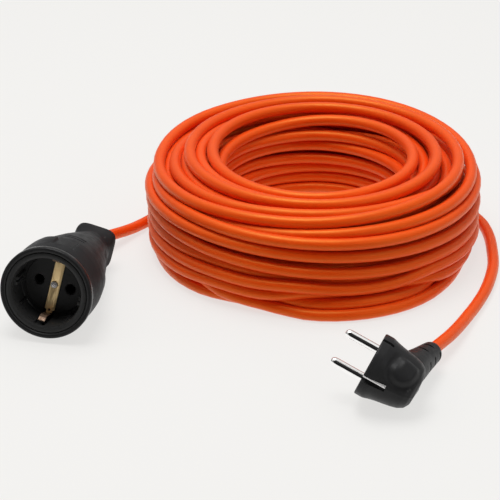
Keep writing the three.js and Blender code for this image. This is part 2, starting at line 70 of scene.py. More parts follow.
def add_camera():
    turn = Matrix.Rotation(CAMERA_TURN, 4, "Z")
    back = Vector((0.0, -cos(CAMERA_RISE), sin(CAMERA_RISE)))
    camera = bpy.data.objects.new("camera", bpy.data.cameras.new("camera"))
    camera.location = CAMERA_AIM + turn @ (CAMERA_DISTANCE * back)
    camera.rotation_euler = (pi / 2 - CAMERA_RISE, 0.0, CAMERA_TURN)
    camera.data.lens = LENS_MM
    camera.data.sensor_width = SENSOR_MM
    camera.data.clip_end = CLIP_END
    bpy.context.collection.objects.link(camera)
    bpy.context.scene.camera = camera


add_camera()

# ---------------------------------------------------------------- cable

CABLE_D = 7.0
COIL_CENTRE = Vector((16.3, 49.0, 0.0)) * MM

# The two leads, from the coil's centre, as the CAD lays them.
SOCKET_LEAD_ROUTE = [
    (-123.3, -56.3, 12.7),
    (-122.9, -47.6, 11.2),
    (-120.4, -38.6, 9.4),
    (-116.2, -28.9, 7.3),
    (-111.7, -18.1, 5.2),
    (-107.8, -8.1, 3.9),
    (-102.8, 2.9, 3.6),
    (-97.4, 14.7, 3.6),
]
PLUG_LEAD_ROUTE = [
    (52.2, 83.5, 3.6),
    (63.8, 76.1, 3.6),
    (75.2, 67.7, 3.6),
    (86.2, 58.2, 3.6),
    (95.2, 48.5, 3.6),
    (102.8, 36.4, 3.6),
    (108.4, 19.2, 3.6),
    (111.5, 2.4, 3.6),
    (113.9, -15.6, 3.6),
    (113.9, -33.6, 3.6),
    (112.4, -51.6, 3.6),
    (109.2, -69.6, 3.7),
    (105.8, -85.6, 4.6),
    (102.4, -102.1, 6.3),
    (98.8, -116.6, 8),
    (95.1, -128, 9.3),
    (91.6, -139.6, 10.9),
]

LEAD_SPACING = {"socket": 5.0, "plug": 9.0}  # between samples of a lead's curve
LEAD_OVERLAP = 3  # slices of the coil's ends that the leads' curves replace

SLICES = 72  # cross-sections round one turn
REST_Z = 3.6  # height of the centreline of a turn that lies on the floor
TOP_Z = 62.0
COIL_START = radians(157)  # where the socket's lead joins the coil, from +X
COIL_START_RADIUS = 95.0
LAST_STRETCH = 0.7  # turns from the last station to the plug's lead, roughly

# How the hidden bulk is wound: the radius and height that each leg ends at, and its turns.
BULK = [
    (89.0, 6.0, 0.8),
    (88.5, 44.0, 5.2),
    (83.0, 54.0, 0.7),
    (82.5, 5.0, 7.2),
    (75.5, 5.0, 0.7),
    (75.5, 56.0, 7.6),
    (68.5, 55.0, 0.7),
    (67.5, 4.5, 7.4),
    (60.5, 4.5, 0.7),
    (57.8, 10.0, 0.9),
    (57.8, 52.0, 6.2),
]

# The last turns, which show: radius and height at eight stations of each, from the left
# over the back and the right to the front as the camera sees the coil.
SHOWN = [
    [(58.5, 54.5), (58.5, 56.0), (59.0, 57.5), (59.5, 59.0),
     (60.5, 60.0), (61.5, 59.0), (62.0, 57.5), (61.0, 58.5)],
    [(61.5, 61.0), (62.5, 61.5), (64.8, 61.5), (69.0, 61.5),
     (74.5, 61.0), (74.5, 59.5), (72.0, 58.0), (72.0, 59.5)],
    [(75.0, 61.0), (74.0, 61.5), (75.5, 61.5), (83.0, 61.0),
     (90.0, 59.0), (89.5, 57.0), (85.0, 54.8), (92.0, 52.5)],
    [(96.5, 51.5), (93.0, 57.0), (92.0, 60.0), (95.5, 59.0),
     (96.5, 52.0), (94.5, 51.5), (92.5, 51.0), (88.0, 49.0)],
    [(88.0, 45.0), (92.0, 48.0), (96.0, 52.0), (99.0, 51.0),
     (99.0, 42.0), (98.5, 44.0), (98.5, 47.3), (96.0, 49.0)],
    [(91.5, 46.0), (95.0, 42.0), (98.0, 41.0), (99.0, 37.0),
     (99.0, 30.5), (98.5, 34.0), (98.5, 37.8), (98.5, 42.8)],
    [(99.0, 43.5), (99.0, 39.0), (99.0, 32.0), (99.0, 26.0),
     (99.0, 21.5), (99.0, 24.3), (99.0, 28.4), (99.0, 34.8)],
    [(99.0, 34.0), (98.0, 29.0), (96.0, 23.0), (94.5, 17.0),
     (93.5, 15.5), (94.0, 19.0), (95.5, 21.0), (97.5, 25.2)],
    [(98.5, 24.5), (99.0, 20.5), (99.0, 16.0), (99.0, 13.0),
     (99.0, 12.5), (99.0, 15.5), (99.0, 15.8), (99.0, 17.3)],
    [(99.0, 16.0), (98.0, 12.0), (97.0, 9.0), (96.0, 6.5),
     (97.0, 5.8), (97.5, 8.5), (96.0, 10.2), (98.0, 10.4)],
    [(98.0, 10.0), (96.5, 8.5), (93.0, 5.0), (92.0, 3.6),
     (95.5, 3.8), (99.0, 6.0), (100.0, 7.6), (92.0, 4.6)],
    [(89.5, 3.6), (88.0, 3.6), (87.0, 3.6), (90.0, 3.6),
     (96.5, 3.6), (102.0, 3.6), (104.0, 3.6), (95.0, 3.6)],
    [(96.5, 3.6), (95.5, 3.6), (96.0, 3.6), (98.5, 3.6)],
]
STATIONS = 8  # of a turn

# The space that the cable's centreline keeps to: outer and inner radius by height.
ENVELOPE_Z = [3.5, 7, 12, 18, 44, 50, 55, 59, 62]
ENVELOPE_OUTER = [91.5, 94, 98.5, 99.5, 99.5, 99, 97.5, 95, 88]
ENVELOPE_INNER = [59, 57, 55.5, 55.5, 55.5, 56, 57, 59, 62]
FOOT_TOP = 14.0  # below this height the coil spreads, and fully so below FOOT_TOP - FOOT_FADE
FOOT_FADE = 10.0

# How much further out the lowest turns lie, by the angle from +X in degrees.
SPREAD_AT = [-180, -160, -142, -132, -114, -105, -96, -87, -77, -59, -39, -15, 0, 180]
SPREAD = [0, 3.0, 5.3, 6.0, 5.3, 4.2, 4.0, 7.0, 12.8, 13.7, 10.6, 3.2, 0, 0]

# How the wound turns are loosened with noise and then settled.
SEED = 11
SLOW_SIZE = (1.6, 2.4)  # of the slow noise, in radius and in height
SLOW_PERIOD = 0.45  # of a turn
QUICK_PERIOD = 0.16
QUICK_SHARE = 0.28  # of the slow noise's size
NOISE_HIDDEN = 1.1  # how much of the noise a hidden turn gets
NOISE_CALM = 0.75  # how much less of it a turn that shows gets
NOISE_RISE = 0.8  # turns from either end over which it comes in
NOISE_WAIT = 0.3
SHOWN_RATE = 3  # the turns count as shown from a third of a turn before the first station
CORNER_PASSES = 45  # of smoothing over the corners of the wound path
SETTLE_STEPS = 320
LATE_STEP = 240  # from here on the turns are held more loosely
LATE_HOLD = 0.25
HOLD_HIDDEN = 0.03  # how firmly a hidden turn is held to its place
HOLD_MORE = 0.22  # how much more firmly a turn that shows is held
STRAIGHTEN = 0.8  # share of the way to the mean of its neighbours that a point goes in a step
PUSHES = 2  # in a step
PUSH = 0.35  # share of an overlap that each of two turns gives way in a push
CLEARANCE = 0.05
KEEP = 0.6  # share of the way back into the envelope that a point goes in a step
SINK = 0.1  # how far a turn may sink below REST_Z while it settles


def smooth_noise(count, period, rng):
    """A smooth random series of unit size whose features are about period samples long."""
    knots = rng.standard_normal(int(count / period) + 4)
    at = np.arange(count) / period
    base = np.floor(at).astype(int)
    f = at - base
    k0, k1, k2, k3 = (knots[base + i] for i in range(4))
    return 0.5 * (2 * k1 + (k2 - k0) * f + (2 * k0 - 5 * k1 + 4 * k2 - k3) * f**2
                  + (3 * k1 - k0 - 3 * k2 + k3) * f**3)


def between(corners, t):
    """(radius, height) at each t, on straight lines between (t, radius, height) corners."""
    corners = np.array(corners)
    return np.stack([np.interp(t, corners[:, 0], corners[:, i]) for i in (1, 2)], 1)


def wound_path():
    """The coil as it is meant to lie, by slice: turns wound so far, (radius, height), and
    whether the turn shows, from 0 to 1."""
    bulk = [(0.0, COIL_START_RADIUS, REST_Z)]
    for r, z, turns in BULK:
        bulk.append((bulk[-1][0] + turns, r, z))
    bulk_end = bulk[-1][0]
    left = (COIL_START - CAMERA_TURN - pi) / (2 * pi)  # turns from the start to the left
    first = round(bulk_end - left) + left
    top = []
    for i, stations in enumerate(SHOWN):
        for j, (r, z) in enumerate(stations):
            top.append((first + i + j / STATIONS, r, z))
    end_x, end_y, _ = PLUG_LEAD_ROUTE[0]
    to_end = (COIL_START - atan2(end_y, end_x)) / (2 * pi)
    last = round(top[-1][0] + LAST_STRETCH - to_end) + to_end
    top.append((last, hypot(end_x, end_y), REST_Z))
    t = np.linspace(0, last, round(last * SLICES) + 1)
    target = np.where(t[:, None] < bulk_end, between(bulk, t), between(top, t))
    shown = np.clip((t - first) * SHOWN_RATE + 1, 0, 1)
    return t, smooth_path(target, CORNER_PASSES), shown


def wind_coil():
    """Centreline of the coiled stretch: wound turn by turn, then settled clear of itself."""
    rng = np.random.default_rng(SEED)
    t, target, shown = wound_path()
    count = len(t)
    free = np.clip(np.minimum(t, t[-1] - t) / NOISE_RISE - NOISE_WAIT, 0, 1)
    for axis, size in enumerate(SLOW_SIZE):
        slow = smooth_noise(count, SLOW_PERIOD * SLICES, rng) * size
        quick = smooth_noise(count, QUICK_PERIOD * SLICES, rng) * size * QUICK_SHARE
        target[:, axis] += free * (slow + quick) * (NOISE_HIDDEN - NOISE_CALM * shown)
    angle = COIL_START - 2 * pi * t
    spread = np.interp((np.degrees(angle) + 180) % 360 - 180, SPREAD_AT, SPREAD)
    turns = -(-count // SLICES)
    padded = np.full((turns * SLICES, 2), np.nan)  # to whole turns, for push_apart
    padded[:count] = target
    line = padded[:count]
    hold = (HOLD_HIDDEN + HOLD_MORE * shown)[:, None]
    for step in range(SETTLE_STEPS):
        line += (1.0 if step < LATE_STEP else LATE_HOLD) * hold * (target - line)
        line[1:-1] += STRAIGHTEN * (0.5 * (line[:-2] + line[2:]) - line[1:-1])
        for _ in range(PUSHES):
            push_apart(padded, turns)
        keep_inside(line, spread)
        line[0], line[-1] = target[0], target[-1]
    r, z = line[:, 0], line[:, 1]
    return np.stack([r * np.cos(angle), r * np.sin(angle), z], 1)


def keep_inside(line, spread):
    """Draws the (radius, height) points of a line into the space that the coil keeps to."""
    line[:, 1] = np.clip(line[:, 1], REST_Z - SINK, TOP_Z)
    low = np.clip((FOOT_TOP - line[:, 1]) / FOOT_FADE, 0, 1)
    outer = np.interp(line[:, 1], ENVELOPE_Z, ENVELOPE_OUTER) + spread * low
    inner = np.interp(line[:, 1], ENVELOPE_Z, ENVELOPE_INNER)
    inside = np.clip(line[:, 0], inner, outer)
    line[1:-1, 0] += KEEP * (inside - line[:, 0])[1:-1]


def smooth_path(path, passes):
    path = path.copy()
    for _ in range(passes):
        path[1:-1] += 0.5 * (0.5 * (path[:-2] + path[2:]) - path[1:-1])
    return path


def push_apart(padded, turns):
    """In each cross-section, turns closer than a diameter push each other away."""
    grid = padded.reshape(turns, SLICES, 2).transpose(1, 0, 2)
    away = grid[:, :, None, :] - grid[:, None, :, :]
    gap = np.sqrt((away**2).sum(-1)) + 1e-9
    near = np.nan_to_num(np.clip(CABLE_D + CLEARANCE - gap, 0, None))
    near[:, range(turns), range(turns)] = 0.0
    push = PUSH * near / np.nan_to_num(gap, nan=1.0)
    shift = np.nan_to_num(push[..., None] * away).sum(2)
    padded += shift.transpose(1, 0, 2).reshape(-1, 2)


def through_points(points, spacing):
    """Centripetal Catmull-Rom curve through points, sampled about every spacing."""
    p = np.array(points, float)
    p = np.vstack([2 * p[0] - p[1], p, 2 * p[-1] - p[-2]])
    out = []
    for i in range(1, len(p) - 2):
        a, b, c, d = p[i - 1:i + 3]
        t0 = 0.0
        t1 = t0 + np.linalg.norm(b - a) ** 0.5
        t2 = t1 + np.linalg.norm(c - b) ** 0.5
        t3 = t2 + np.linalg.norm(d - c) ** 0.5
        count = max(2, round(np.linalg.norm(c - b) / spacing))
        for t in np.linspace(t1, t2, count, endpoint=False):
            ab = (t1 - t) / (t1 - t0) * a + (t - t0) / (t1 - t0) * b
            bc = (t2 - t) / (t2 - t1) * b + (t - t1) / (t2 - t1) * c
            cd = (t3 - t) / (t3 - t2) * c + (t - t2) / (t3 - t2) * d
            abc = (t2 - t) / (t2 - t0) * ab + (t - t0) / (t2 - t0) * bc
            bcd = (t3 - t) / (t3 - t1) * bc + (t - t1) / (t3 - t1) * cd
            out.append((t2 - t) / (t2 - t1) * abc + (t - t1) / (t2 - t1) * bcd)
    out.append(p[-2])
    return np.array(out)


def cable_path():
    """Centreline of the whole cable from the socket to the plug, from the coil's centre."""
    coil = wind_coil()[LEAD_OVERLAP:-LEAD_OVERLAP]
    lead_in = through_points(SOCKET_LEAD_ROUTE + [tuple(coil[0])], LEAD_SPACING["socket"])
    lead_out = through_points([tuple(coil[-1])] + PLUG_LEAD_ROUTE, LEAD_SPACING["plug"])
    return np.vstack([lead_in[:-1], coil, lead_out[1:]])


def add_cable():
    """The cable as one tube, and the point where it leaves the socket."""
    path = cable_path() * MM
    data = bpy.data.curves.new("cable", "CURVE")
    data.dimensions = "3D"
    spline = data.splines.new("POLY")
    spline.points.add(len(path) - 1)
    for point, spot in zip(spline.points, path):
        point.co = (*(Vector(spot) + COIL_CENTRE), 1.0)
        point.radius = CABLE_D * MM / 2
    data.bevel_depth = 1.0
    data.bevel_resolution = 5
    data.use_fill_caps = True
    cable = bpy.data.objects.new("cable", data)
    bpy.context.collection.objects.link(cable)
    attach(cable, "cord_set")
    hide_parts("cable_coil", "socket_lead", "plug_lead")
    return cable, path[0] + np.array(COIL_CENTRE)


cable, cable_start = add_cable()

# ---------------------------------------------------------------- materials


class Look:
    """A Principled material whose detail comes from noise in the object's own metres."""

    def __init__(self, name, color, roughness, metallic=0.0):
        self.material = bpy.data.materials.new(name)
        self.material.use_nodes = True
        self.tree = self.material.node_tree
        self.shader = self.tree.nodes["Principled BSDF"]
        self.shader.inputs["Base Color"].default_value = (*color, 1.0)
        self.shader.inputs["Roughness"].default_value = roughness
        self.shader.inputs["Metallic"].default_value = metallic
        self.color = color
        self.where = self.tree.nodes.new("ShaderNodeTexCoord").outputs["Object"]

    def noise(self, size, detail, stretch=(1, 1, 1)):
        """Noise between 0 and 1 whose features are about size metres across."""
        scale = self.tree.nodes.new("ShaderNodeMapping")
        scale.inputs["Scale"].default_value = stretch
        self.tree.links.new(self.where, scale.inputs["Vector"])
        noise = self.tree.nodes.new("ShaderNodeTexNoise")
        noise.inputs["Scale"].default_value = 1 / size
        noise.inputs["Detail"].default_value = detail
        self.tree.links.new(scale.outputs[0], noise.inputs["Vector"])
        return noise.outputs["Fac"]

    def span(self, source, low, high, start=0.3, end=0.7):
        """source between start and end, spread out to run from low to high."""
        node = self.tree.nodes.new("ShaderNodeMapRange")
        node.inputs["From Min"].default_value = start
        node.inputs["From Max"].default_value = end
        node.inputs["To Min"].default_value = low
        node.inputs["To Max"].default_value = high
        self.tree.links.new(source, node.inputs["Value"])
        return node.outputs["Result"]

    def rough(self, source, low, high):
        self.tree.links.new(self.span(source, low, high), self.shader.inputs["Roughness"])

    def tint(self, source, other, start=0.3, end=0.7):
        """Mixes the other colour in as source goes from start to end."""
        mix = self.tree.nodes.new("ShaderNodeMix")
        mix.data_type = "RGBA"
        mix.inputs["A"].default_value = (*self.color, 1.0)
        mix.inputs["B"].default_value = (*other, 1.0)
        self.tree.links.new(self.span(source, 0.0, 1.0, start, end), mix.inputs["Factor"])
        base = self.shader.inputs["Base Color"]
        if base.links:
            self.tree.links.new(base.links[0].from_socket, mix.inputs["A"])
        self.tree.links.new(mix.outputs["Result"], base)

    def bump(self, source, depth):
        node = self.tree.nodes.new("ShaderNodeBump")
        node.inputs["Distance"].default_value = depth
        node.inputs["Strength"].default_value = 1.0
        self.tree.links.new(source, node.inputs["Height"])
        normal = self.shader.inputs["Normal"]
        if normal.links:
            self.tree.links.new(normal.links[0].from_socket, node.inputs["Normal"])
        self.tree.links.new(node.outputs["Normal"], normal)

    def edges(self):
        """How convex the surface is, for wear along edges."""
        return self.tree.nodes.new("ShaderNodeNewGeometry").outputs["Pointiness"]


def cable_look():
    look = Look("cable_pvc", (0.87, 0.067, 0.002), 0.43)
    look.tint(look.noise(0.035, 2.0), (0.83, 0.056, 0.0015))
    look.tint(look.noise(0.0016, 4.0), (0.85, 0.083, 0.004), 0.55, 0.85)
    look.rough(look.noise(0.006, 4.0), 0.38, 0.48)
    look.bump(look.noise(0.0009, 3.0), 0.00003)
    look.bump(look.noise(0.014, 1.0), 0.00025)
    look.shader.inputs["Specular IOR Level"].default_value = 0.62
    look.shader.inputs["Specular Tint"].default_value = (1.0, 1.0, 0.2, 1.0)
    look.shader.inputs["Sheen Weight"].default_value = 0.09
    look.shader.inputs["Sheen Roughness"].default_value = 0.45
    look.shader.inputs["Sheen Tint"].default_value = (1.0, 0.72, 0.35, 1.0)
    return look.material


def black_look(name, level, rough, grain, edge, gloss):
    """Black plastic or rubber: level is how grey it is, edge how grey where it is worn."""
    look = Look(name, (level, level, level * 1.04), rough)
    look.tint(look.noise(0.012, 4.0), (level * 1.4, level * 1.4, level * 1.42), 0.45, 0.8)
    look.tint(look.edges(), (edge, edge, edge), 0.52, 0.62)
    look.rough(look.noise(0.004, 5.0), rough - 0.06, rough + 0.08)
    look.bump(look.noise(grain, 2.0), 0.00004)
    look.shader.inputs["Specular IOR Level"].default_value = gloss
    return look.material


def metal_look(name, color, dull, rough, grain, brushed=(1, 1, 1), metallic=1.0):
    """Metal with dull patches; brushed stretches its grain along the axis that is below 1."""
    look = Look(name, color, rough, metallic)
    look.tint(look.noise(0.003, 4.0), dull, 0.5, 0.8)
    look.rough(look.noise(grain, 4.0, brushed), rough - 0.08, rough + 0.1)
    look.bump(look.noise(grain, 3.0, brushed), 0.00002)
    return look.material


def core_look(name, color, other=None):
    """Insulation of one core of the cable, with bands of another colour if there is one."""
    look = Look(name, color, 0.45)
    if other:
        look.tint(look.noise(0.0018, 1.0, (1, 0.15, 1)), other, 0.48, 0.52)
    look.rough(look.noise(0.002, 3.0), 0.4, 0.52)
    look.bump(look.noise(0.0007, 2.0), 0.00002)
    return look.material


LOOKS = {
    "cable_sheath": cable_look(),
    "black_plastic": black_look(
        "black_plastic", level=0.014, rough=0.30, grain=0.0006, edge=0.03, gloss=0.14),
    "black_rubber": black_look(
        "black_rubber", level=0.020, rough=0.41, grain=0.0005, edge=0.045, gloss=0.13),
    "matt_rubber": black_look(
        "matt_rubber", level=0.026, rough=0.42, grain=0.0005, edge=0.05, gloss=0.02),
    "brass": metal_look(
        "brass", (1.0, 0.74, 0.38), dull=(0.93, 0.65, 0.30), rough=0.40, grain=0.0008,
        brushed=(1, 1, 0.1), metallic=0.55),
    "spring_bronze": metal_look(
        "spring_bronze", (0.42, 0.29, 0.21), dull=(0.24, 0.14, 0.09), rough=0.55, grain=0.0007),
    "nickel": metal_look(
        "nickel", (0.97, 0.96, 0.95), dull=(0.9, 0.89, 0.88), rough=0.10, grain=0.0012,
        brushed=(0.2, 1, 1)),
    "zinc": metal_look(
        "zinc", (0.86, 0.84, 0.84), dull=(0.7, 0.69, 0.7), rough=0.3, grain=0.0006, metallic=0.6),
    # Near-black metal for the socket's brass pin contacts: painted shade deep in the pin holes,
    # not the brass's own colour.
    "painted_shade_contact": metal_look(
        "painted_shade_contact", (0.03, 0.02, 0.012), dull=(0.01, 0.008, 0.006), rough=0.5, grain=0.0008),
    "core_brown": core_look("core_brown", (0.12, 0.045, 0.018)),
    "core_blue": core_look("core_blue", (0.03, 0.13, 0.45)),
    "core_green_yellow": core_look("core_green_yellow", (0.06, 0.3, 0.04), (0.72, 0.62, 0.03)),
}


def paint(obj, slot):
    obj.data.materials.clear()
    obj.data.materials.append(LOOKS[slot])


def paint_cad():
    """Each CAD node takes the look of its slot in the record; the pin contacts instead get a
    near-black metal, painted shade deep in the socket's pin holes.
    """
    for part in frame["record"]["subparts"]:
        obj = frame["nodes"][part["node"]]
        # The pin contacts take the near-black painted shade look in place of their brass.
        is_contact = "socket_contact" in part["node"]
        look = LOOKS["painted_shade_contact" if is_contact else part["material_slot"]]
        for slot in obj.material_slots:
            slot.material = look
        if not obj.material_slots:
            obj.data.materials.append(look)


paint(cable, "cable_sheath")
paint_cad()

# ---------------------------------------------------------------- mesh helpers

# Frames of the two fittings, as the CAD places them. The socket's own +Y runs from its
# mouth to its cable; the plug's pins point along its own +Z and its cable leaves along -Y.
SOCKET = (
    Matrix.Translation(Vector((-107.0, -104.7, 29.452)) * MM)
    @ Matrix.Rotation(radians(-9.7624), 4, "X")
    @ Matrix.Rotation(radians(13), 4, "Y")
    @ Matrix.Scale(MM, 4)
)
PLUG = (
    Matrix.Translation(Vector((80.0, -132.6, 23.59)) * MM)
    @ Matrix.Rotation(radians(-5.5), 4, "Z")
    @ Matrix.Rotation(radians(-3.4), 4, "X")
    @ Matrix.Rotation(radians(23 - 90), 4, "Y")
    @ Matrix.Rotation(pi, 4, "Z")
    @ Matrix.Scale(MM, 4)
)

MERGE = 1e-4  # vertices closer than this are one
SHARP_ANGLE = radians(38)  # edges that bend more than this are shaded as sharp
EASE_ANGLE = radians(35)  # edges that bend more than this are eased
EASE = 0.12  # width of an eased edge


def mesh_object(name, vertices, faces):
    mesh = bpy.data.meshes.new(name)
    mesh.from_pydata([tuple(v) for v in vertices], [], faces)
    work = bmesh.new()
    work.from_mesh(mesh)
    bmesh.ops.remove_doubles(work, verts=work.verts, dist=MERGE)
    bmesh.ops.recalc_face_normals(work, faces=work.faces)
    work.to_mesh(mesh)
    work.free()
    obj = bpy.data.objects.new(name, mesh)
    bpy.context.collection.objects.link(obj)
    return obj


def ring_faces(count, segments, closed=False):
    """Quads between count rings of vertices, and back from the last to the first if closed."""
    faces = []
    for j in range(count if closed else count - 1):
        low, high = j * segments, (j + 1) % count * segments
        for i in range(segments):
            k = (i + 1) % segments
            faces.append((low + i, low + k, high + k, high + i))
    return faces


def revolved(name, profile, segments=96, along="Y", shift=(0, 0, 0), bend=None):
    """Turned shape from (radius, distance) points along an axis, which it starts and ends on."""
    vertices = []
    for radius, distance in profile:
        for i in range(segments):
            a = 2 * pi * i / segments
            point = Vector((radius * cos(a), distance, radius * sin(a)))
            if along == "Z":
                point = Vector((point.x, -point.z, point.y))
            if bend:
                point = bend @ point
            vertices.append(point + Vector(shift))
    return mesh_object(name, vertices, ring_faces(len(profile), segments))


def block(name, size, centre, turn=None, bevel=0.0):
    sx, sy, sz = (v / 2 for v in size)
    corners = [Vector((x, y, z)) for x in (-sx, sx) for y in (-sy, sy) for z in (-sz, sz)]
    if turn:
        corners = [turn @ c for c in corners]
    corners = [c + Vector(centre) for c in corners]
    faces = [(0, 1, 3, 2), (4, 6, 7, 5), (0, 4, 5, 1), (2, 3, 7, 6), (0, 2, 6, 4), (1, 5, 7, 3)]
    obj = mesh_object(name, corners, faces)
    if bevel:
        modifier = obj.modifiers.new("bevel", "BEVEL")
        modifier.width = bevel
        modifier.segments = 3
        settle(obj)
    return obj


def settle(obj):
    """Applies every modifier of obj to its mesh."""
    graph = bpy.context.evaluated_depsgraph_get()
    graph.update()
    mesh = bpy.data.meshes.new_from_object(obj.evaluated_get(graph))
    old = obj.data
    obj.modifiers.clear()
    obj.data = mesh
    bpy.data.meshes.remove(old)


def combine(obj, others, operation):
    """obj joined with or cut by each of the others, which are used up."""
    for other in others:
        modifier = obj.modifiers.new("boolean", "BOOLEAN")
        modifier.operation = operation
        modifier.solver = "EXACT"
        modifier.object = other
        settle(obj)
        bpy.data.objects.remove(other)


def melt(obj, voxel, smoothing):
    """Remeshes obj evenly and rounds it, as one moulding."""
    modifier = obj.modifiers.new("remesh", "REMESH")
    modifier.mode = "VOXEL"
    modifier.voxel_size = voxel
    settle(obj)
    modifier = obj.modifiers.new("smooth", "SMOOTH")
    modifier.factor = 0.5
    modifier.iterations = smoothing
    settle(obj)


def place(obj, fitting, slot, *replaced):
    """Moves obj from millimetres in a fitting's frame into the scene, on the main body."""
    obj.data.transform(fitting)
    for polygon in obj.data.polygons:
        polygon.use_smooth = True
    obj.data.set_sharp_from_angle(angle=SHARP_ANGLE)
    paint(obj, slot)
    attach(obj, "cord_set")
    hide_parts(*replaced)
    return obj


def ease_and_place(obj, fitting, slot, *replaced):
    modifier = obj.modifiers.new("bevel", "BEVEL")
    modifier.width = EASE
    modifier.segments = 2
    modifier.limit_method = "ANGLE"
    modifier.angle_limit = EASE_ANGLE
    settle(obj)
    return place(obj, fitting, slot, *replaced)


def coordinates(obj):
    flat = np.empty(len(obj.data.vertices) * 3)
    obj.data.vertices.foreach_get("co", flat)
    return flat.reshape(-1, 3)


def move_vertices(obj, places):
    obj.data.vertices.foreach_set("co", places.ravel())
    obj.data.update()


def ramp(value, start, end):
    """0 up to start, 1 from end on, and smooth between."""
    t = np.clip((value - start) / (end - start), 0, 1)
    return t * t * (3 - 2 * t)


# ---------------------------------------------------------------- plug

PLUG_R = 17.8
POCKET_R = 14.9  # of the room for the face
PIN_X = 9.5
BOOT_LEAN = radians(12.7)
BOOT_TURN = Matrix.Rotation(pi + BOOT_LEAN, 3, "X")
BORE_ROOT = (0, 0, -15.6)  # where the cable's bore starts
BOOT_ROOT = Vector(BORE_ROOT) + Vector((0.4, 0, -0.7))
BOOT_PROFILE = [
    (0, 0), (7.5, 0.6), (9.6, 3), (10.2, 8), (9.6, 16), (8.8, 22.5), (7.8, 30), (6.9, 39),
    (6.4, 44), (6.0, 45.6), (5.2, 46.3), (0, 46.3),
]
BOOT_SLOTS = (25.6, 29.8, 34.0, 38.2, 42.4)  # along the boot, in pairs that alternate
BOOT_SLOT_SIZE = (7, 1.7, 10.5)
BOOT_SLOT_DEPTH = 1.1
BOOT_SLOT_TURN = radians(75)
GROOVE_SIZE = (4.4, 2.0, 15)  # of the two side grooves that guide the plug into an outlet
RAIL_WIDTH = 0.9
RAIL_SLOT = (-1.9, 2.0)  # from edge to edge of the slot that holds an earth rail
RAILS = {"rail_front": (1, 13.4), "rail_rear": (-1, 9.6)}  # side of the plug, length
VOXEL = 0.5  # of the remeshed moulding
MARK_AT = (-12.0, 18.0)  # centre of the moulded mark: across the plug, distance from the face
SEAM_WIDTH = 0.35
SEAM_HEIGHT = 0.16
SEAM_DEPTH = 14  # of the point on the axis that the seam stands out from


def plug_relief(x, y, depth):
    """Height of the moulded mark on the plug's side, depth being the distance from the face."""
    def dome(at, size):
        return np.exp(-(((x - at[0]) / size[0]) ** 2 + ((depth - at[1]) / size[1]) ** 2))

    away = np.hypot(x - MARK_AT[0], (depth - MARK_AT[1]) * 0.95)
    relief = 1.5 * (1 - ramp(away, 4.6, 7.6))  # raised boss
    relief -= 0.55 * np.exp(-((away - 8.3) / 1.1) ** 2)  # ditch round it
    relief -= 1.3 * dome((-14.0, 12.6), (2.6, 2.4))  # hollow in it
    relief += 0.6 * dome((-15.2, 17.5), (1.6, 2.6))  # ridge beside the hollow
    return relief * (ramp(y, 3, 7) * ramp(depth, 6.5, 9))  # on the upper side, behind the rim


def plug_moulding():
    """Body and boot as one rubber moulding with its mark, seam, slots and grooves."""
    body = revolved("plug_moulding", [
        (0, 0), (17.5, 0), (PLUG_R, -0.4), (PLUG_R, -5), (16.9, -8), (16.0, -12), (15.4, -16),
        (14.7, -20), (13.8, -23.5), (12.0, -26.6), (9.0, -28.4), (0, -29.0),
    ], along="Z")
    boot = revolved("boot", BOOT_PROFILE, segments=64, shift=BOOT_ROOT, bend=BOOT_TURN)
    combine(body, [boot], "UNION")
    melt(body, VOXEL, smoothing=5)
    p = coordinates(body)
    x, y, depth = p[:, 0].copy(), p[:, 1].copy(), -p[:, 2]
    outward = np.stack([x, y], 1) / (np.hypot(x, y) + 1e-6)[:, None]
    p[:, :2] += plug_relief(x, y, depth)[:, None] * outward
    seam = np.exp(-(x / SEAM_WIDTH) ** 2) * SEAM_HEIGHT * ramp(depth, 2, 5)
    radial = np.hypot(p[:, 1], depth - SEAM_DEPTH) + 1e-6
    p[:, 1] += seam * p[:, 1] / radial
    p[:, 2] -= seam * (depth - SEAM_DEPTH) / radial
    move_vertices(body, p)
    combine(body, plug_cuts(), "DIFFERENCE")
    return place(body, PLUG, "black_rubber", "plug_body", "plug_boot")


def plug_cuts():
    """What is cut from the moulding: room for the face, bore, grooves, rail and boot slots."""
    pocket = [(0, 2), (POCKET_R, 2), (POCKET_R, -13), (12.9, -21), (0, -21)]
    bore = [(0, 4), (3.8, 4), (3.8, 50), (0, 50)]
    cuts = [
        revolved("pocket", pocket, along="Z"),
        revolved("bore", bore, segments=32, shift=BORE_ROOT, bend=BOOT_TURN),
    ]
    for end in (-1, 1):
        cuts.append(block("groove", GROOVE_SIZE, (end * 17.6, 2.4, 0.5), bevel=0.4))
    for edge, length in RAILS.values():
        width = RAIL_SLOT[1] - RAIL_SLOT[0]
        centre = (sum(RAIL_SLOT) / 2, edge * (PLUG_R + 0.2), 1 - length / 2)
        cuts.append(block("rail_slot", (width, 6.0, length + 2), centre, bevel=0.3))
    boot_r, boot_at = zip(*BOOT_PROFILE)
    for i, along in enumerate(BOOT_SLOTS):
        floor = float(np.interp(along, boot_at, boot_r)) - BOOT_SLOT_DEPTH
        turn = Matrix.Rotation(BOOT_SLOT_TURN + pi / 2 * (i % 2), 3, "Y")
        for end in (-1, 1):
            offset = turn @ Vector((end * (floor + BOOT_SLOT_SIZE[0] / 2), along, 0))
            cuts.append(block("boot_slot", BOOT_SLOT_SIZE, BOOT_TURN @ offset + BOOT_ROOT,
                              turn=BOOT_TURN @ turn, bevel=0.4))
    return cuts


